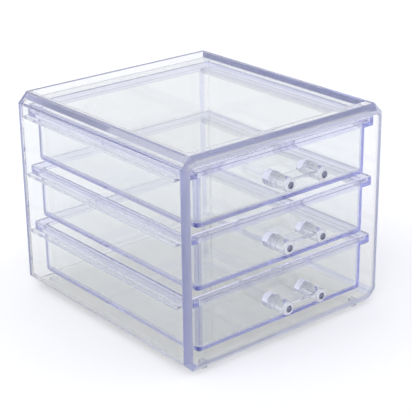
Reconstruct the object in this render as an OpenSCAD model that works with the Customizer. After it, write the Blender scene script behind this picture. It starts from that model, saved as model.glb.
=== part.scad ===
// Clear stacking case with three full-width drawers, each with an H-shaped pull.
// Millimetres: x runs across the front, y from the front to the back, z is up.
// The origin is below the middle of the whole part, where the feet stand.

/* [Case] */
// Outer width of the case
case_w = 155; // [140:1:185]
// Depth of the case, from its front to its back face
case_d = 163.6; // [130:0.1:190]
// Height of the case above its feet
case_h = 130; // [118:1:160]
// Flat cut along the four long edges of the case
case_chamfer = 6.5; // [5.5:0.1:7.5]
// Flat cut round the front of the case
front_bevel = 3.6; // [2:0.1:3.8]
// Thickness of the two side walls
wall_side = 4.2; // [4:0.1:5.5]
// Thickness of the bottom plate
wall_bottom = 4.2; // [4:0.1:5.5]
// Thickness of the top plate
wall_top = 2.2; // [1.5:0.1:3]
// Thickness of the back panel
wall_back = 2.5; // [1.5:0.1:4]
// Depth of the tray that is sunk into the top
tray_depth = 4; // [3:0.1:6]
// Distance of the tray from the front and from the sides of the case
tray_inset = 9; // [8.5:0.1:11]

/* [Feet] */
// Side of each square foot
foot_w = 4; // [3:0.1:6]
// Height of each foot
foot_h = 2; // [1:0.1:4]
// Distance of each foot's centre from the nearer side of the case
foot_side = 16.5; // [12:0.1:30]
// Distance of each foot's centre from the nearer end of the case
foot_inset = 7; // [7:0.1:12]

/* [Drawers] */
// Gap between each side wall and a drawer below its rim
drawer_side_gap = 7.3; // [6.2:0.1:12]
// Height of the lowest drawer's underside above the case's underside
drawer_low = 9.4; // [6:0.1:14]
// Gap above each of the two lower drawers
drawer_gap = 2.6; // [2:0.1:5]
// Gap above the top drawer
drawer_top_gap = 2.4; // [1.2:0.1:4]
// Thickness of a drawer's walls and floor
drawer_wall = 2.2; // [1.6:0.1:2.6]
// Radius of a drawer's outer edges
drawer_round = 3; // [2:0.1:5]
// Radius of the corners inside a drawer
drawer_inner_round = 2.5; // [1:0.1:4]
// Distance of the drawers' rims behind the front of the case
drawer_in = 3.6; // [2:0.1:5]
// Distance of a drawer's front wall behind the front of its rim
drawer_setback = 1; // [0.6:0.1:1.4]
// Distance of a drawer's back wall ahead of the back of its rim
drawer_overhang = 1.2; // [0.6:0.1:1.5]
// Height of the stepped rim
rim_h = 5.4; // [4:0.1:8]
// Gap between the rim and each side wall
rim_side_gap = 1.6; // [0.4:0.1:2.2]
// Gap between the rim and the back panel
rim_back_gap = 1.5; // [0.5:0.1:4]

/* [Runners] */
// Gap between a runner and the drawer below its rim
runner_gap = 1; // [0.4:0.1:1.6]
// Thickness of a runner
runner_t = 2; // [1.5:0.1:3]
// Distance of a runner's front end behind the front of the case
runner_start = 10; // [6:0.5:20]
// Height between a runner and the rim that slides on it
runner_fit = 0.3; // [0.2:0.05:0.6]

/* [Pulls] */
// Distance between the two posts of a pull
post_pitch = 26; // [22:0.5:60]
// Diameter of a post
post_d = 8.6; // [7:0.1:9.5]
// Diameter of the collar at the root of a post
collar_d = 9.6; // [9.6:0.1:12]
// Length of the collar
collar_l = 7; // [5:0.1:8]
// Distance by which a pull stands out from the drawer's front wall
pull_out = 18.5; // [18.5:0.5:24]
// Height of the rounded end of a post
post_dome = 1.6; // [0.8:0.1:2.5]
// Diameter of the flat end of a post
end_d = 4.6; // [4.4:0.1:5.5]
// Diameter of the dimple in that flat
dimple_d = 4; // [2:0.1:4.2]
// Thickness of the blade that joins the posts
blade_t = 1.8; // [1.4:0.1:3]
// Depth of the blade, along the posts
blade_l = 9.5; // [6:0.1:9.5]
// Height of the blade's middle above the axis of the posts
blade_rise = 2.1; // [0:0.1:2.2]
// Diameter of the pegs that hold a pull in the drawer's front wall
peg_d = 5; // [3:0.1:6]
// Gap round a peg in its hole
peg_fit = 0.05; // [0.02:0.01:0.15]

/* [Hidden] */
$fn = 64;
// overlap that keeps cuts clear of the faces they go through
eps = 0.5;

// case, measured from the middle of its width, its front and its underside
case_z = foot_h;
pull_front = pull_out - drawer_setback - drawer_in;
case_y = pull_front - (case_d + pull_front) / 2;
inner_w = case_w - 2 * wall_side;
inner_top = case_h - tray_depth - wall_top;
shell_d = case_d - wall_back;
tray_w = case_w - 2 * tray_inset;

// drawers
drawer_h = (inner_top - drawer_top_gap - drawer_low - 2 * drawer_gap) / 3;
drawer_pitch = drawer_h + drawer_gap;
drawer_w = inner_w - 2 * drawer_side_gap;
rim_w = inner_w - 2 * rim_side_gap;
rim_d = shell_d - drawer_in - rim_back_gap;
rim_round = 2;
body_d = rim_d - drawer_setback - drawer_overhang;
body_in_w = drawer_w - 2 * drawer_wall;
body_in_d = body_d - 2 * drawer_wall;
rim_in_w = rim_w - 2 * drawer_wall;
rim_in_d = rim_d - 2 * drawer_wall;

// runners
runner_w = drawer_side_gap - runner_gap;
runner_z = drawer_low + drawer_h - rim_h - runner_fit - runner_t;

// pulls, measured from the drawer's front wall and underside
pull_z = drawer_h / 2;
blade_start = collar_l + (pull_out - post_dome - collar_l - blade_l) / 2;
dimple_depth = 0.9;

// Draws a flat shape of x and z as a bar that runs along y.
module along_y(from, to) {
  translate([0, to, 0])
    rotate([90, 0, 0])
      linear_extrude(to - from)
        children();
}

// Moves to drawer 0, 1 or 2, counted from the bottom.
module at_drawer(level) {
  translate([0, case_y + drawer_in, case_z + drawer_low + level * drawer_pitch])
    children();
}

// The eight-sided outline of the case, seen from the front, drawn in by these distances
// at its sides, bottom, top and cut corners.
module case_outline(side = 0, bottom = 0, top = 0, corner = 0) {
  half = case_w / 2 - side;
  high = case_h - top;
  // x - z along the lower corner cut, and x + z along the upper one
  low_cut = case_w / 2 - case_chamfer - corner * sqrt(2);
  high_cut = low_cut + case_h;
  polygon([
    [-low_cut - bottom, bottom], [low_cut + bottom, bottom],
    [half, half - low_cut], [half, high_cut - half],
    [high_cut - high, high], [high - high_cut, high],
    [-half, high_cut - half], [-half, half - low_cut]
  ]);
}

// The outside of the case as a solid block, with the flat cut round its front.
module bevelled_block() {
  hull() {
    along_y(front_bevel, shell_d)
      case_outline();
    along_y(0, front_bevel / 2)
      case_outline(front_bevel, front_bevel, front_bevel, front_bevel);
  }
}

// A rectangle with round corners that begins at y = 0.
module round_rectangle(width, depth, radius) {
  translate([radius - width / 2, 0])
    square([width - 2 * radius, depth]);
  translate([-width / 2, radius])
    square([width, depth - 2 * radius]);
  for (x = [radius - width / 2, width / 2 - radius])
    for (y = [radius, depth - radius])
      translate([x, y])
        circle(radius);
}

// A block that begins at y = 0, with round upright edges and a round foot.
module round_tub(width, depth, height, radius) {
  x_ends = [radius - width / 2, width / 2 - radius];
  y_ends = [radius, depth - radius];
  translate([0, 0, radius])
    linear_extrude(height - radius)
      round_rectangle(width, depth, radius);
  translate([x_ends[0], y_ends[0], 0])
    cube([width - 2 * radius, depth - 2 * radius, height]);
  for (x = x_ends) {
    translate([x, radius, radius])
      rotate([-90, 0, 0])
        cylinder(h = depth - 2 * radius, r = radius);
    for (y = y_ends)
      translate([x, y, radius])
        sphere(radius);
  }
  for (y = y_ends)
    translate([x_ends[0], y, radius])
      rotate([0, 90, 0])
        cylinder(h = width - 2 * radius, r = radius);
}

// The sleeve: bottom, sides and top in one piece, with the tray sunk into its top.
module case_shell() {
  color("lavender")
    translate([0, case_y, case_z])
      difference() {
        bevelled_block();
        along_y(-eps, shell_d + eps)
          case_outline(wall_side, wall_bottom, case_h - inner_top, wall_side);
        translate([-tray_w / 2, tray_inset, case_h - tray_depth])
          cube([tray_w, case_d, tray_depth + eps]);
      }
}

// The flat panel that closes the back and makes the rear lip of the tray.
module back_panel() {
  color("lavender")
    translate([0, case_y, case_z])
      along_y(shell_d, case_d)
        case_outline();
}

// One of the strips on the side walls that carry a drawer by its rim.
// Side is -1 on the left and 1 on the right.
module runner(level, side) {
  length = shell_d - runner_start;
  color("ghostwhite")
    translate([0, case_y + runner_start, case_z + runner_z + level * drawer_pitch])
      mirror([side < 0 ? 1 : 0, 0, 0])
        translate([inner_w / 2 - runner_w, 0, 0])
          rotate([90, 0, 90])
            linear_extrude(runner_w)
              polygon([[0, runner_t], [runner_t, 0], [length, 0], [length, runner_t]]);
}

// A foot of the case. Side is -1 or 1 across, and end is -1 at the front.
module foot(side, end) {
  y = end < 0 ? foot_inset : case_d - foot_inset;
  color("lavender")
    translate([side * (case_w / 2 - foot_side) - foot_w / 2, case_y + y - foot_w / 2, 0])
      cube([foot_w, foot_w, foot_h]);
}

// A drawer: a round-edged tub whose stepped rim slides on the runners.
module drawer(level) {
  rim_z = drawer_h - rim_h;
  color("aliceblue")
    at_drawer(level)
      difference() {
        union() {
          translate([0, drawer_setback, 0])
            round_tub(drawer_w, body_d, drawer_h, drawer_round);
          translate([0, 0, rim_z])
            linear_extrude(rim_h)
              round_rectangle(rim_w, rim_d, rim_round);
        }
        translate([0, drawer_setback + drawer_wall, drawer_wall])
          round_tub(body_in_w, body_in_d, drawer_h, drawer_inner_round);
        translate([0, drawer_wall, rim_z + drawer_wall])
          linear_extrude(rim_h)
            round_rectangle(rim_in_w, rim_in_d, drawer_inner_round);
        for (x = [-post_pitch / 2, post_pitch / 2])
          translate([x, drawer_setback - eps, pull_z])
            rotate([-90, 0, 0])
              cylinder(h = drawer_wall + 2 * eps, d = peg_d + 2 * peg_fit);
      }
}

// One post of a pull with its peg, collar, round end and dimple, along -y.
module pull_post() {
  straight = pull_out - post_dome;
  // the round end is a zone of a ball, from the full diameter to the flat
  ball_z = straight - (pow(post_d / 2, 2) - pow(end_d / 2, 2) - pow(post_dome, 2)) / (2 * post_dome);
  ball_r = norm([post_d / 2, straight - ball_z]);
  rotate([90, 0, 0])
    difference() {
      union() {
        translate([0, 0, -drawer_wall])
          cylinder(h = drawer_wall + eps, d = peg_d);
        cylinder(h = collar_l, d = collar_d);
        cylinder(h = straight, d = post_d);
        intersection() {
          translate([0, 0, ball_z])
            sphere(ball_r, $fn = 96);
          translate([0, 0, straight - eps])
            cylinder(h = post_dome + eps, d = post_d);
        }
      }
      translate([0, 0, pull_out - dimple_depth])
        cylinder(h = dimple_depth + eps, d1 = dimple_d / 2, d2 = dimple_d);
    }
}

// A pull: two posts, joined by a level blade that the fingers hook behind.
module pull(level) {
  color("white")
    at_drawer(level)
      translate([0, drawer_setback, pull_z]) {
        for (x = [-post_pitch / 2, post_pitch / 2])
          translate([x, 0, 0])
            pull_post();
        translate([-post_pitch / 2, -blade_start - blade_l, blade_rise - blade_t / 2])
          cube([post_pitch, blade_l, blade_t]);
      }
}

module runner_left_bottom() { runner(0, -1); }
module runner_left_middle() { runner(1, -1); }
module runner_left_top() { runner(2, -1); }
module runner_right_bottom() { runner(0, 1); }
module runner_right_middle() { runner(1, 1); }
module runner_right_top() { runner(2, 1); }
module foot_front_left() { foot(-1, -1); }
module foot_front_right() { foot(1, -1); }
module foot_back_left() { foot(-1, 1); }
module foot_back_right() { foot(1, 1); }
module drawer_bottom() { drawer(0); }
module drawer_middle() { drawer(1); }
module drawer_top() { drawer(2); }
module pull_bottom() { pull(0); }
module pull_middle() { pull(1); }
module pull_top() { pull(2); }

case_shell();
back_panel();
runner_left_bottom();
runner_left_middle();
runner_left_top();
runner_right_bottom();
runner_right_middle();
runner_right_top();
foot_front_left();
foot_front_right();
foot_back_left();
foot_back_right();
drawer_bottom();
drawer_middle();
drawer_top();
pull_bottom();
pull_middle();
pull_top();
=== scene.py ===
import math
import bmesh
import bpy
from mathutils import Matrix, Vector


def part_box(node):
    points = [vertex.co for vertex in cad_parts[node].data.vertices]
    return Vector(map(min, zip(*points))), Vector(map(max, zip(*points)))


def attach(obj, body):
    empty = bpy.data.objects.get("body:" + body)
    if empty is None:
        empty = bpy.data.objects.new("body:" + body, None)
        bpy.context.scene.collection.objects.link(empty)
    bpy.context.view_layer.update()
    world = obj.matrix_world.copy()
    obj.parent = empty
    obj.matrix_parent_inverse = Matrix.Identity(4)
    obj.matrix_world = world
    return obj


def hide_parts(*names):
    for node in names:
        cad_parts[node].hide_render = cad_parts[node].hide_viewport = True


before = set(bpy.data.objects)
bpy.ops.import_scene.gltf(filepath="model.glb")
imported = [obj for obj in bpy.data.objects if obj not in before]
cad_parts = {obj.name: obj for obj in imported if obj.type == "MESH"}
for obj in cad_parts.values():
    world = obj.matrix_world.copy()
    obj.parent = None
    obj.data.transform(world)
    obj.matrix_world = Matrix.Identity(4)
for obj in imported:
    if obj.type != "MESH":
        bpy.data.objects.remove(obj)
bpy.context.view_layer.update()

mm = 0.001
levels = ("bottom", "middle", "top")
scene = bpy.context.scene


def toLinear(hexColour):
    channels = [int(hexColour[i:i + 2], 16) / 255 for i in (1, 3, 5)]
    linear = [c / 12.92 if c <= 0.04045 else ((c + 0.055) / 1.055) ** 2.4 for c in channels]
    return (*linear, 1.0)


# Where the photograph was taken from: found by fitting the case's outline corners.
camera = {
    "place": (-0.47730, -0.57875, 0.36537),
    "azimuth": -39.437,
    "elevation": 21.952,
    "roll": -0.726,
    "lens": 113.65,
    "sensor": 36.0,
    "near": 0.01,
    "far": 50,
}


def makeCamera(settings):
    azimuth = math.radians(settings["azimuth"])
    elevation = math.radians(settings["elevation"])
    back = Vector((math.sin(azimuth) * math.cos(elevation),
                   -math.cos(azimuth) * math.cos(elevation),
                   math.sin(elevation)))
    right = Vector((0, 0, 1)).cross(back).normalized()
    up = back.cross(right)
    roll = Matrix.Rotation(math.radians(settings["roll"]), 3, "Z")
    turn = Matrix((right, up, back)).transposed() @ roll
    data = bpy.data.cameras.new("photoCamera")
    data.sensor_width = settings["sensor"]
    data.lens = settings["lens"]
    data.clip_start = settings["near"]
    data.clip_end = settings["far"]
    obj = bpy.data.objects.new("photoCamera", data)
    scene.collection.objects.link(obj)
    obj.matrix_world = Matrix.Translation(settings["place"]) @ turn.to_4x4()
    scene.camera = obj


makeCamera(camera)
print("stage: camera")


def addNode(material, kind, settings=None, inputs=None, links=None):
    tree = material.node_tree
    node = tree.nodes.new(kind)
    for key, value in (settings or {}).items():
        setattr(node, key, value)
    for key, value in (inputs or {}).items():
        node.inputs[key].default_value = value
    for key, socket in (links or {}).items():
        tree.links.new(socket, node.inputs[key])
    return node


def addMath(material, operation, *terms):
    values = {i: term for i, term in enumerate(terms) if isinstance(term, (int, float))}
    links = {i: term for i, term in enumerate(terms) if i not in values}
    return addNode(material, "ShaderNodeMath", {"operation": operation}, values, links).outputs[0]


def addBlend(material, amount, first, second):
    colours = {"Color1": first, "Color2": second}
    values = {name: colour for name, colour in colours.items() if isinstance(colour, tuple)}
    links = {name: colour for name, colour in colours.items() if name not in values}
    links["Fac"] = amount
    return addNode(material, "ShaderNodeMixRGB", None, values, links).outputs[0]


# The noise that all the plastics share: a slow flow for the waves, a fine haze for the roughness.
grain = {
    "flowDetail": 2.0,
    "flowRoughness": 0.45,
    "hazeDetail": 4.0,
    "hazeRoughness": 0.6,
    "hazeLow": 0.35,
    "hazeHigh": 0.7,
}


# Clear plastic is a refracting skin round a depth that takes up a little light. addZones changes
# the skin in parts of a piece: it gives the shader's inputs there, and how much rougher satin is.
def clearPlastic(name, look, addZones=None):
    material = bpy.data.materials.new(name)
    material.use_nodes = True
    material.node_tree.nodes.clear()
    place = addNode(material, "ShaderNodeTexCoord").outputs["Object"]
    flow = addNode(material, "ShaderNodeTexNoise", None,
                   {"Scale": look["flowScale"], "Detail": grain["flowDetail"],
                    "Roughness": grain["flowRoughness"]}, {"Vector": place})
    haze = addNode(material, "ShaderNodeTexNoise", None,
                   {"Scale": look["hazeScale"], "Detail": grain["hazeDetail"],
                    "Roughness": grain["hazeRoughness"]}, {"Vector": place})
    roughness = addNode(material, "ShaderNodeMapRange", None,
                        {"From Min": grain["hazeLow"], "From Max": grain["hazeHigh"],
                         "To Min": look["polish"], "To Max": look["haze"]},
                        {"Value": haze.outputs["Fac"]}).outputs["Result"]
    bump = addNode(material, "ShaderNodeBump", None,
                   {"Strength": look["wave"], "Distance": look["waveHeight"]},
                   {"Height": flow.outputs["Fac"]}).outputs["Normal"]
    skin = {"Roughness": roughness, "Normal": bump}
    if addZones:
        split = addNode(material, "ShaderNodeSeparateXYZ", None, None, {"Vector": place})
        zones, satin = addZones(material, look, split.outputs)
        skin.update(zones)
        if satin:
            skin["Roughness"] = addMath(material, "ADD", satin, roughness)
    shader = addNode(material, "ShaderNodeBsdfPrincipled", None,
                     {"Base Color": toLinear(look["colour"]), "Transmission Weight": 1.0,
                      "IOR": look["ior"]}, skin)
    depth = addNode(material, "ShaderNodeVolumeAbsorption", None,
                    {"Color": toLinear(look["depthColour"]), "Density": look["depthDensity"]})
    addNode(material, "ShaderNodeOutputMaterial", None, None,
            {"Surface": shader.outputs["BSDF"], "Volume": depth.outputs["Volume"]})
    return material


# The front bevel, the tray's sides and the back panel's sawn edge are satin; that edge and the
# bottom flats are tinted.
def addCaseZones(material, look, place):
    low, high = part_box("case_shell")
    panelLow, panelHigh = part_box("back_panel")
    slack = look["slack"]
    front = addMath(material, "LESS_THAN", place["Y"], low.y + look["satinDepth"])
    panelEdge = addMath(material, "COMPARE", place["Y"], (panelLow.y + panelHigh.y) / 2,
                        (panelHigh.y - panelLow.y) / 2 - look["panelSpare"])
    width = addMath(material, "ABSOLUTE", place["X"])
    sideways = addMath(material, "COMPARE", width, high.x - look["trayInset"], slack)
    backwards = addMath(material, "COMPARE", place["Y"], low.y + look["trayInset"], slack)
    above = addMath(material, "GREATER_THAN", place["Z"],
                    high.z - look["trayDepth"] + look["trayFloor"])
    tray = addMath(material, "MULTIPLY", addMath(material, "MAXIMUM", sideways, backwards), above)
    sawn = addMath(material, "MAXIMUM", front, panelEdge)
    satin = addMath(material, "MULTIPLY", addMath(material, "MAXIMUM", sawn, tray), look["satin"])
    outside = addMath(material, "GREATER_THAN", width, high.x - look["flat"])
    under = addMath(material, "LESS_THAN", place["Z"], low.z + look["flat"])
    flats = addMath(material, "MULTIPLY", outside, under)
    tinted = addMath(material, "MAXIMUM", panelEdge, flats)
    colour = addBlend(material, tinted, toLinear(look["colour"]), toLinear(look["edgeColour"]))
    return {"Base Color": colour}, satin


# A drawer's rim and its upright corners are thicker, so they look more lavender than the walls.
def addDrawerZones(material, look, place):
    low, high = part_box("drawer_bottom")
    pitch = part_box("drawer_middle")[0].z - low.z
    middleY, halfY = (low.y + high.y) / 2, (high.y - low.y) / 2
    height = addMath(material, "MODULO", addMath(material, "SUBTRACT", place["Z"], low.z), pitch)
    rim = addMath(material, "GREATER_THAN", height, high.z - low.z - look["rimHeight"])
    across = addMath(material, "ABSOLUTE", place["X"])
    along = addMath(material, "ABSOLUTE", addMath(material, "SUBTRACT", place["Y"], middleY))
    corner = addMath(material, "MULTIPLY",
                     addMath(material, "GREATER_THAN", across, high.x - look["cornerIn"]),
                     addMath(material, "GREATER_THAN", along, halfY - look["cornerDepth"]))
    walls = addBlend(material, corner, toLinear(look["colour"]), toLinear(look["cornerColour"]))
    return {"Base Color": addBlend(material, rim, walls, toLinear(look["rimColour"]))}, None


# The collars are satin, and where they are seated light passes the seam, as through a tight joint.
# The domed rims of the post ends are ground matt and painted white as a highlight ring, round a
# dimple coloured dark with painted shade.
def addPullZones(material, look, place):
    low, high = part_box("pull_bottom")
    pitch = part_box("pull_middle")[0].z - low.z
    axisZ = (low.z + high.z) / 2
    seat = addMath(material, "GREATER_THAN", place["Y"], high.y - look["seatDepth"])
    change = addMath(material, "MULTIPLY", seat, look["seatIor"] - look["ior"])
    collar = addMath(material, "GREATER_THAN", place["Y"], high.y - look["collarDepth"])
    end = addMath(material, "LESS_THAN", place["Y"], low.y + look["endDepth"])
    across = addMath(material, "ABSOLUTE", place["X"])
    sideways = addMath(material, "SUBTRACT", across, look["postX"])
    level = addMath(material, "SUBTRACT", place["Z"], axisZ - pitch / 2)
    upwards = addMath(material, "SUBTRACT", addMath(material, "MODULO", level, pitch), pitch / 2)
    square = addMath(material, "ADD", addMath(material, "MULTIPLY", sideways, sideways),
                     addMath(material, "MULTIPLY", upwards, upwards))
    inside = addMath(material, "LESS_THAN", square, look["dimpleRadius"] ** 2)
    dimpleShadeMask = addMath(material, "MULTIPLY", end, inside)
    dome = addMath(material, "SUBTRACT", end, dimpleShadeMask)
    satin = addMath(material, "ADD", addMath(material, "MULTIPLY", collar, look["collarSatin"]),
                    addMath(material, "MULTIPLY", dome, look["domeSatin"]))
    # Frost and a white colour on the dome, partly a ground finish and partly a painted highlight
    # ring.
    frostAndHighlight = addMath(material, "MULTIPLY", dome, look["domeFrostAndHighlight"])
    body = addBlend(material, collar, toLinear(look["colour"]), toLinear(look["collarColour"]))
    ring = addBlend(material, dome, body, toLinear(look["domeHighlightColour"]))
    # Painted shade: the dimple is coloured dark.
    colour = addBlend(material, dimpleShadeMask, ring, toLinear(look["dimpleShadeColour"]))
    return {"IOR": addMath(material, "ADD", change, look["ior"]),
            "Transmission Weight": addMath(material, "SUBTRACT", 1.0, frostAndHighlight),
            "Base Color": colour}, satin


# Thick extruded or moulded polystyrene: panes stay clear, and long light paths in the walls turn
# lavender, so every edge shows as a tinted line.
casePlastic = clearPlastic("clearPolystyreneMoulded", {
    "colour": "#FBFCFB", "ior": 1.59, "polish": 0.0, "haze": 0.01,
    "flowScale": 9.0, "hazeScale": 60.0, "wave": 0.01, "waveHeight": 0.002,
    "depthColour": "#7C88D4", "depthDensity": 2.6,
    "satin": 0.28, "satinDepth": 3.7 * mm, "trayInset": 9.0 * mm, "trayDepth": 4.0 * mm,
    "trayFloor": 0.3 * mm, "panelSpare": 0.15 * mm, "slack": 0.1 * mm,
    "flat": 6.5 * mm, "edgeColour": "#D9DDF2",
}, addCaseZones)
# Thin-walled mouldings in the same plastic, with more tint where they are thick.
drawerPlastic = clearPlastic("clearPolystyreneThinWall", {
    "colour": "#FBFCFB", "ior": 1.59, "polish": 0.0, "haze": 0.02,
    "flowScale": 14.0, "hazeScale": 80.0, "wave": 0.03, "waveHeight": 0.002,
    "depthColour": "#6874D2", "depthDensity": 6.0,
    "rimHeight": 5.5 * mm, "rimColour": "#E9E9F8", "cornerIn": 9.0 * mm, "cornerDepth": 4.0 * mm,
    "cornerColour": "#C8CBEE",
}, addDrawerZones)
# Strips cut from clear sheet: they read as pale bands behind the side walls.
runnerPlastic = clearPlastic("clearPolystyreneStrip", {
    "colour": "#FBFBFC", "ior": 1.5, "polish": 0.0, "haze": 0.04,
    "flowScale": 20.0, "hazeScale": 120.0, "wave": 0.01, "waveHeight": 0.001,
    "depthColour": "#7C82CC", "depthDensity": 14.0,
})
# Solid polished mouldings: greyer than the walls, with bright and dark streaks inside.
pullPlastic = clearPlastic("clearPolystyrenePolishedPull", {
    "colour": "#FCFCFD", "ior": 1.59, "polish": 0.0, "haze": 0.02,
    "flowScale": 60.0, "hazeScale": 200.0, "wave": 0.1, "waveHeight": 0.001,
    "depthColour": "#9298C8", "depthDensity": 13.0,
    "seatDepth": 2.27 * mm, "seatIor": 1.3, "collarDepth": 9.3 * mm, "collarSatin": 0.15,
    # The post ends get a painted highlight ring and a dimple in painted shade.
    "collarColour": "#EDEEF9", "endDepth": 1.7 * mm, "domeSatin": 0.3, "domeFrostAndHighlight": 0.3,
    "domeHighlightColour": "#FFFFFF", "postX": 13.0 * mm, "dimpleRadius": 2.15 * mm,
    "dimpleShadeColour": "#64647C",
}, addPullZones)
# Small soft plastic pads, a greyer lavender than the case that stands on them.
footPlastic = clearPlastic("softClearVinylPad", {
    "colour": "#F4F4F8", "ior": 1.5, "polish": 0.1, "haze": 0.25,
    "flowScale": 40.0, "hazeScale": 200.0, "wave": 0.05, "waveHeight": 0.001,
    "depthColour": "#8C90B8", "depthDensity": 140.0,
})
print("stage: materials")


def meshObject(name, mesh):
    data = bpy.data.meshes.new(name)
    mesh.to_mesh(data)
    mesh.free()
    obj = bpy.data.objects.new(name, data)
    scene.collection.objects.link(obj)
    return obj


def finishPiece(name, mesh, material, body, nodes, smoothAngle=40):
    bmesh.ops.recalc_face_normals(mesh, faces=mesh.faces)
    obj = meshObject(name, mesh)
    data = obj.data
    data.materials.append(material)
    for polygon in data.polygons:
        polygon.use_smooth = True
    data.set_sharp_from_angle(angle=math.radians(smoothAngle))
    flats = obj.modifiers.new("flatFacesStayFlat", "WEIGHTED_NORMAL")
    flats.weight = 100
    flats.keep_sharp = True
    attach(obj, body)
    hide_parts(*nodes)


def roundEdges(mesh, radius, steps, sharpest=25):
    bmesh.ops.recalc_face_normals(mesh, faces=mesh.faces)
    edges = [e for e in mesh.edges
             if len(e.link_faces) == 2 and e.calc_face_angle(0) > math.radians(sharpest)]
    bmesh.ops.bevel(mesh, geom=edges, offset=radius, offset_type="OFFSET", segments=steps,
                    profile=0.5, affect="EDGES", clamp_overlap=True, material=-1)


def addPrism(mesh, outline, y0, y1):
    front = [mesh.verts.new((x, y0, z)) for x, z in outline]
    rear = [mesh.verts.new((x, y1, z)) for x, z in outline]
    mesh.faces.new(front)
    mesh.faces.new(rear)
    for i in range(len(outline)):
        j = (i + 1) % len(outline)
        mesh.faces.new((front[i], front[j], rear[j], rear[i]))


# The case is eight-sided from the front; its outline drawn in by these distances.
def caseOutline(low, high, cut, side=0.0, bottom=0.0, top=0.0, corner=0.0):
    halfX, z0, z1 = high.x - side, low.z + bottom, high.z - top
    lowCut = high.x - cut - corner * math.sqrt(2) - low.z
    highCut = high.x - cut - corner * math.sqrt(2) + high.z
    return [(-lowCut - z0, z0), (lowCut + z0, z0),
            (halfX, halfX - lowCut), (halfX, highCut - halfX),
            (highCut - z1, z1), (z1 - highCut, z1),
            (-halfX, highCut - halfX), (-halfX, halfX - lowCut)]


# A thick-walled sleeve of one moulding, bevelled all round its front, with the tray sunk into it.
case = {
    "chamfer": 6.5 * mm,
    "bevel": 3.6 * mm,
    "wallSide": 4.2 * mm,
    "wallBottom": 4.2 * mm,
    "wallTop": 2.2 * mm,
    "trayDepth": 4.0 * mm,
    "trayInset": 9.0 * mm,
    "edgeRound": 0.25 * mm,
    "edgeSteps": 2,
    "glueGap": 0.06 * mm,
}


def makeShell(s):
    low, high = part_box("case_shell")
    bevel, wall = s["bevel"], s["wallSide"]
    trayX, trayY = high.x - s["trayInset"], low.y + s["trayInset"]
    trayZ = high.z - s["trayDepth"]
    mesh = bmesh.new()

    def ring(points, y):
        return [mesh.verts.new((x, y, z)) for x, z in points]

    def strip(a, b, sides=range(8)):
        for i in sides:
            j = (i + 1) % len(a)
            mesh.faces.new((a[i], a[j], b[j], b[i]))

    outer = caseOutline(low, high, s["chamfer"])
    face = caseOutline(low, high, s["chamfer"], bevel, bevel, bevel, bevel)
    inner = caseOutline(low, high, s["chamfer"], wall, s["wallBottom"],
                        s["trayDepth"] + s["wallTop"], wall)
    notch = [(trayX, high.z), (trayX, trayZ), (-trayX, trayZ), (-trayX, high.z)]
    front, shoulder = ring(face, low.y), ring(outer, low.y + bevel)
    rear = ring(outer, high.y)
    innerFront, innerRear = ring(inner, low.y), ring(inner, high.y)
    notchFront, notchRear = ring(notch, trayY), ring(notch, high.y)
    allButTop = (0, 1, 2, 3, 5, 6, 7)
    strip(innerFront, front)
    strip(front, shoulder)
    strip(shoulder, rear, allButTop)
    strip(rear, innerRear, allButTop)
    strip(innerRear, innerFront)
    strip(notchFront, notchRear, range(3))
    mesh.faces.new(notchFront)
    mesh.faces.new((shoulder[4], notchFront[0], notchRear[0], rear[4]))
    mesh.faces.new((shoulder[5], rear[5], notchRear[3], notchFront[3]))
    mesh.faces.new((shoulder[4], shoulder[5], notchFront[3], notchFront[0]))
    mesh.faces.new((rear[4], notchRear[0], notchRear[1], innerRear[4]))
    mesh.faces.new((notchRear[1], notchRear[2], innerRear[5], innerRear[4]))
    mesh.faces.new((rear[5], innerRear[5], notchRear[2], notchRear[3]))
    roundEdges(mesh, s["edgeRound"], s["edgeSteps"])
    finishPiece("caseShell", mesh, casePlastic, "case", ["case_shell"])


def makeBack(s):
    low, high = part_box("back_panel")
    mesh = bmesh.new()
    addPrism(mesh, caseOutline(low, high, s["chamfer"]), low.y + s["glueGap"], high.y)
    roundEdges(mesh, s["edgeRound"], s["edgeSteps"])
    finishPiece("backPanel", mesh, casePlastic, "case", ["back_panel"])


makeShell(case)
makeBack(case)

# A strip along the side wall, with its front end cut back at 45 degrees underneath.
runner = {
    "glueGap": 0.06 * mm,
    "edgeRound": 0.2 * mm,
    "edgeSteps": 2,
}


def makeRunner(side, level, s):
    node = "runner_" + side + "_" + level
    low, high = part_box(node)
    height = high.z - low.z
    if side == "left":
        x0, x1 = low.x + s["glueGap"], high.x
    else:
        x0, x1 = low.x, high.x - s["glueGap"]
    rear = high.y - s["glueGap"]
    profile = [(low.y, high.z), (low.y + height, low.z), (rear, low.z), (rear, high.z)]
    mesh = bmesh.new()
    left = [mesh.verts.new((x0, y, z)) for y, z in profile]
    right = [mesh.verts.new((x1, y, z)) for y, z in profile]
    mesh.faces.new(left)
    mesh.faces.new(right)
    for i in range(4):
        j = (i + 1) % 4
        mesh.faces.new((left[i], left[j], right[j], right[i]))
    roundEdges(mesh, s["edgeRound"], s["edgeSteps"])
    name = "runner" + side.capitalize() + level.capitalize()
    finishPiece(name, mesh, runnerPlastic, "case", [node])


for side in ("left", "right"):
    for level in levels:
        makeRunner(side, level, runner)

# A small block stuck under a corner of the case.
foot = {
    "glueGap": 0.06 * mm,
    "edgeRound": 0.4 * mm,
    "edgeSteps": 3,
}


def makeFoot(end, side, s):
    node = "foot_" + end + "_" + side
    low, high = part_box(node)
    top = high.z - s["glueGap"]
    mesh = bmesh.new()
    addPrism(mesh, [(low.x, low.z), (high.x, low.z), (high.x, top), (low.x, top)], low.y, high.y)
    roundEdges(mesh, s["edgeRound"], s["edgeSteps"])
    name = "foot" + end.capitalize() + side.capitalize()
    finishPiece(name, mesh, footPlastic, "case", [node])


for end in ("front", "back"):
    for side in ("left", "right"):
        makeFoot(end, side, foot)
print("stage: case")

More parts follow.
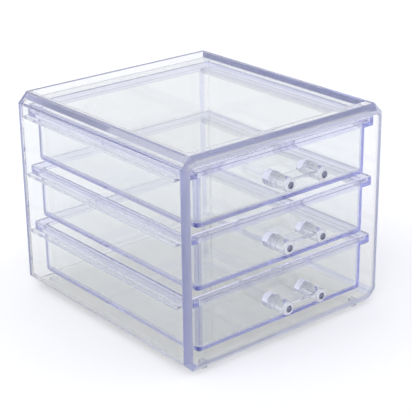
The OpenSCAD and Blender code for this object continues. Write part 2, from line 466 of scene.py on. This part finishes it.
# A thin-walled tub with soft corners, whose rim steps out to ride on the runners.
drawer = {
    "wall": 2.2 * mm,
    "rimHeight": 5.4 * mm,
    "rimStep": 5.7 * mm,
    "setback": 1.0 * mm,
    "overhang": 1.2 * mm,
    "outerRound": 3.0 * mm,
    "innerRound": 2.5 * mm,
    "rimRound": 2.0 * mm,
    "stepRound": 0.5 * mm,
    "edgeRound": 0.35 * mm,
    "spare": 0.2 * mm,
    "cornerSteps": 6,
    "stepSteps": 3,
    "edgeSteps": 2,
}


def softCorner(before, corner, after, radius, steps):
    def towards(target):
        reach = max(abs(t - c) for t, c in zip(target, corner))
        return [c + (t - c) * min(radius / reach, 0.5) for t, c in zip(target, corner)]
    start, end = towards(before), towards(after)
    points = []
    for k in range(steps + 1):
        turn = math.pi / 2 * k / steps
        points.append([c + (a - c) * (1 - math.sin(turn)) + (b - c) * (1 - math.cos(turn))
                       for c, a, b in zip(corner, start, end)])
    return points


def softProfile(corners):
    points = []
    for i, (corner, (radius, steps)) in enumerate(corners):
        if radius == 0:
            points.append(corner)
        else:
            points += softCorner(corners[i - 1][0], corner, corners[i + 1][0], radius, steps)
    return points


# Each level is (half width, front y, back y, z, corner radius); the skin joins one to the next.
def addLevels(mesh, profile, steps):
    rings = []
    for halfX, y0, y1, z, radius in profile:
        ring = []
        centres = ((halfX - radius, y0 + radius, -90), (halfX - radius, y1 - radius, 0),
                   (radius - halfX, y1 - radius, 90), (radius - halfX, y0 + radius, 180))
        for x, y, start in centres:
            for k in range(steps + 1):
                turn = math.radians(start + 90 * k / steps)
                point = (x + radius * math.cos(turn), y + radius * math.sin(turn), z)
                ring.append(mesh.verts.new(point))
        rings.append(ring)
    for a, b in zip(rings, rings[1:]):
        for i in range(len(a)):
            j = (i + 1) % len(a)
            mesh.faces.new((a[i], a[j], b[j], b[i]))
    mesh.faces.new(rings[0])
    mesh.faces.new(rings[-1])


def makeDrawer(level, s):
    node = "drawer_" + level
    low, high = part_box(node)
    wall, out, inner, spare = s["wall"], s["outerRound"], s["innerRound"], s["spare"]
    rimZ = high.z - s["rimHeight"]
    rimX, bodyX = high.x, high.x - s["rimStep"]
    y0, y1 = low.y, high.y
    bodyY0, bodyY1 = y0 + s["setback"], y1 - s["overhang"]
    bottomOut, bottomIn = (out, s["cornerSteps"]), (inner, s["cornerSteps"])
    step, edge = (s["stepRound"], s["stepSteps"]), (s["edgeRound"], s["edgeSteps"])
    plain = (0, 0)

    # From the middle of the outer bottom, up over the rim and down to the middle of the inner one.
    corners = [
        ((bodyX - out, bodyY0 + out, bodyY1 - out, low.z, spare), plain),
        ((bodyX, bodyY0, bodyY1, low.z, out + spare), bottomOut),
        ((bodyX, bodyY0, bodyY1, rimZ, out + spare), step),
        ((rimX, y0, y1, rimZ, s["rimRound"]), edge),
        ((rimX, y0, y1, high.z, s["rimRound"]), edge),
        ((rimX - wall, y0 + wall, y1 - wall, high.z, inner), edge),
        ((rimX - wall, y0 + wall, y1 - wall, rimZ + wall, inner), step),
        ((bodyX - wall, bodyY0 + wall, bodyY1 - wall, rimZ + wall, inner + spare), edge),
        ((bodyX - wall, bodyY0 + wall, bodyY1 - wall, low.z + wall, inner + spare), bottomIn),
        ((bodyX - wall - inner, bodyY0 + wall + inner, bodyY1 - wall - inner, low.z + wall, spare),
         plain),
    ]
    mesh = bmesh.new()
    addLevels(mesh, softProfile(corners), s["cornerSteps"])
    name = "drawer" + level.capitalize()
    finishPiece(name, mesh, drawerPlastic, level + "_drawer", [node])


for level in levels:
    makeDrawer(level, drawer)
print("stage: drawers")

# Two turned posts on collars, joined by a flat blade, standing on the drawer's front.
pull = {
    "pegLength": 2.2 * mm,
    "collarRadius": 4.8 * mm,
    "collarLength": 7.0 * mm,
    "collarRound": 0.5 * mm,
    "postRadius": 4.3 * mm,
    "postPitch": 26.0 * mm,
    "dome": 1.6 * mm,
    "endRadius": 2.3 * mm,
    "dimpleRadius": 2.0 * mm,
    "dimpleDepth": 0.9 * mm,
    "bladeThickness": 1.8 * mm,
    "bladeDepth": 9.5 * mm,
    "bladeRise": 2.1 * mm,
    "bladeRound": 0.5 * mm,
    "glueGap": 0.06 * mm,
    "turnSteps": 40,
    "collarSteps": 3,
    "domeSteps": 6,
    "dimpleSteps": 5,
    "bladeSteps": 3,
    "smoothAngle": 35,
}


# Points of (radius, distance from the wall), from the collar's seat to the middle of the dimple.
def postProfile(s, out):
    straight = out - s["dome"]
    drop, bulge = s["collarRound"], s["postRadius"] - s["endRadius"]
    points = [(0.0, s["glueGap"]), (s["collarRadius"], s["glueGap"])]
    for k in range(s["collarSteps"] + 1):
        turn = math.pi / 2 * k / s["collarSteps"]
        points.append((s["collarRadius"] - drop * (1 - math.cos(turn)),
                       s["collarLength"] - drop * (1 - math.sin(turn))))
    points += [(s["postRadius"], s["collarLength"]), (s["postRadius"], straight)]
    for k in range(1, s["domeSteps"] + 1):
        turn = math.pi / 2 * k / s["domeSteps"]
        points.append((s["endRadius"] + bulge * math.cos(turn),
                       straight + s["dome"] * math.sin(turn)))
    for k in range(1, s["dimpleSteps"]):
        turn = math.pi / 2 * k / s["dimpleSteps"]
        points.append((s["dimpleRadius"] * math.cos(turn),
                       out - s["dimpleDepth"] * math.sin(turn)))
    points.append((0.0, out - s["dimpleDepth"]))
    return points


def makeTurned(profile, centre, steps):
    mesh = bmesh.new()
    verts = [mesh.verts.new((centre.x + r, centre.y - t, centre.z)) for r, t in profile]
    edges = [mesh.edges.new((a, b)) for a, b in zip(verts, verts[1:])]
    bmesh.ops.spin(mesh, geom=verts + edges, cent=centre, axis=(0, 1, 0), dvec=(0, 0, 0),
                   angle=2 * math.pi, steps=steps, use_merge=True)
    bmesh.ops.remove_doubles(mesh, verts=mesh.verts, dist=0.0001 * mm)
    bmesh.ops.recalc_face_normals(mesh, faces=mesh.faces)
    return mesh


def makePull(level, s):
    node = "pull_" + level
    low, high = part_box(node)
    wallY = high.y - s["pegLength"]
    out = wallY - low.y
    axisZ = (low.z + high.z) / 2
    halfPitch = s["postPitch"] / 2
    parts = []
    for sign in (-1, 1):
        centre = Vector((sign * halfPitch, wallY, axisZ))
        parts.append(meshObject("post", makeTurned(postProfile(s, out), centre, s["turnSteps"])))
    straight = out - s["dome"]
    spare = (straight - s["collarLength"] - s["bladeDepth"]) / 2
    bladeY1 = wallY - s["collarLength"] - spare
    bladeZ = axisZ + s["bladeRise"]
    z0, z1 = bladeZ - s["bladeThickness"] / 2, bladeZ + s["bladeThickness"] / 2
    blade = bmesh.new()
    outline = [(-halfPitch, z0), (halfPitch, z0), (halfPitch, z1), (-halfPitch, z1)]
    addPrism(blade, outline, bladeY1 - s["bladeDepth"], bladeY1)
    roundEdges(blade, s["bladeRound"], s["bladeSteps"])
    bmesh.ops.recalc_face_normals(blade, faces=blade.faces)
    bar = meshObject("blade", blade)
    for part in parts:
        union = bar.modifiers.new("join", "BOOLEAN")
        union.operation = "UNION"
        union.solver = "EXACT"
        union.object = part
    graph = bpy.context.evaluated_depsgraph_get()
    joined = bmesh.new()
    joined.from_mesh(bar.evaluated_get(graph).to_mesh())
    for part in parts + [bar]:
        bpy.data.objects.remove(part)
    name = "pull" + level.capitalize()
    finishPiece(name, joined, pullPlastic, level + "_drawer", [node],
                s["smoothAngle"])


for level in levels:
    makePull(level, pull)
print("stage: pulls")

# A white paper floor and a soft white room that is a little darker on the camera's side. A soft
# box is (azimuth, elevation, angle where it starts to fade, angle where it ends, strength).
stage = {
    "size": 6.0,
    "floorColour": "#F4F4F6",
    "floorSeenColour": "#B4B4B8",
    "floorRoughness": 0.9,
    "floorGlow": 0.46,
    "roomFront": "#B8BAC8",
    "roomBack": "#FFFFFF",
    "frontEnd": -0.9,
    "backEnd": 0.3,
    "roomLight": 0.85,
    "softBoxes": ((-110, 48, 8, 20, 3.0), (40, 62, 8, 18, 4.0), (-45, 50, 10, 24, 6.0)),
}


# One for rays that look at the floor, straight or through the plastic; zero for the light that
# it sends on.
def addSeenRay(material):
    path = addNode(material, "ShaderNodeLightPath").outputs
    mirrored = addMath(material, "MAXIMUM", path["Is Camera Ray"], path["Is Glossy Ray"])
    return addMath(material, "MAXIMUM", mirrored, path["Is Transmission Ray"])


# Paper that is lit like paper, but looks nearly white to the eye and through the plastic; it keeps
# the shadow.
def makeFloor(s):
    mesh = bmesh.new()
    bmesh.ops.create_grid(mesh, x_segments=1, y_segments=1, size=s["size"] / 2)
    obj = meshObject("studioFloor", mesh)
    material = bpy.data.materials.new("whitePaperSweep")
    material.use_nodes = True
    material.node_tree.nodes.clear()
    seen = addSeenRay(material)
    colour = addBlend(material, seen, toLinear(s["floorColour"]), toLinear(s["floorSeenColour"]))
    glow = addMath(material, "MULTIPLY", seen, s["floorGlow"])
    shader = addNode(material, "ShaderNodeBsdfPrincipled", None,
                     {"Roughness": s["floorRoughness"], "Specular IOR Level": 0.0,
                      "Emission Color": (1, 1, 1, 1)},
                     {"Base Color": colour, "Emission Strength": glow})
    addNode(material, "ShaderNodeOutputMaterial", None, None, {"Surface": shader.outputs["BSDF"]})
    obj.data.materials.append(material)


makeFloor(stage)


def makeWorld(s):
    world = bpy.data.worlds.new("studioLight")
    scene.world = world
    world.use_nodes = True
    world.node_tree.nodes.clear()
    eye = addNode(world, "ShaderNodeLightPath").outputs["Is Camera Ray"]
    direction = addNode(world, "ShaderNodeTexCoord").outputs["Generated"]
    split = addNode(world, "ShaderNodeSeparateXYZ", None, None, {"Vector": direction}).outputs
    depth = addNode(world, "ShaderNodeMapRange", None,
                    {"From Min": s["frontEnd"], "From Max": s["backEnd"]},
                    {"Value": split["Y"]}).outputs["Result"]
    room = addBlend(world, depth, toLinear(s["roomFront"]), toLinear(s["roomBack"]))
    strength = s["roomLight"]
    for azimuth, elevation, inside, outside, light in s["softBoxes"]:
        turn, rise = math.radians(azimuth), math.radians(elevation)
        aim = (math.sin(turn) * math.cos(rise), -math.cos(turn) * math.cos(rise), math.sin(rise))
        towards = addNode(world, "ShaderNodeVectorMath", {"operation": "DOT_PRODUCT"},
                          {1: aim}, {0: direction})
        box = addNode(world, "ShaderNodeMapRange", {"interpolation_type": "SMOOTHSTEP"},
                      {"From Min": math.cos(math.radians(outside)),
                       "From Max": math.cos(math.radians(inside)), "To Max": light},
                      {"Value": towards.outputs["Value"]}).outputs["Result"]
        strength = addMath(world, "ADD", box, strength)
    around = addNode(world, "ShaderNodeBackground", None, None,
                     {"Color": room, "Strength": strength})
    backdrop = addNode(world, "ShaderNodeBackground", None,
                       {"Color": (1, 1, 1, 1), "Strength": 1.0})
    mix = addNode(world, "ShaderNodeMixShader", None, None,
                  {0: eye, 1: around.outputs["Background"], 2: backdrop.outputs["Background"]})
    addNode(world, "ShaderNodeOutputWorld", None, None, {"Surface": mix.outputs["Shader"]})


makeWorld(stage)

# Light that is led along inside the walls and bevels needs this many bounces to come out.
wallBounces = 240
scene.cycles.max_bounces = wallBounces
scene.cycles.transmission_bounces = wallBounces
scene.cycles.glossy_bounces = wallBounces
scene.cycles.diffuse_bounces = 3
scene.cycles.transparent_max_bounces = 16
scene.view_settings.view_transform = "Standard"
print("stage: light")
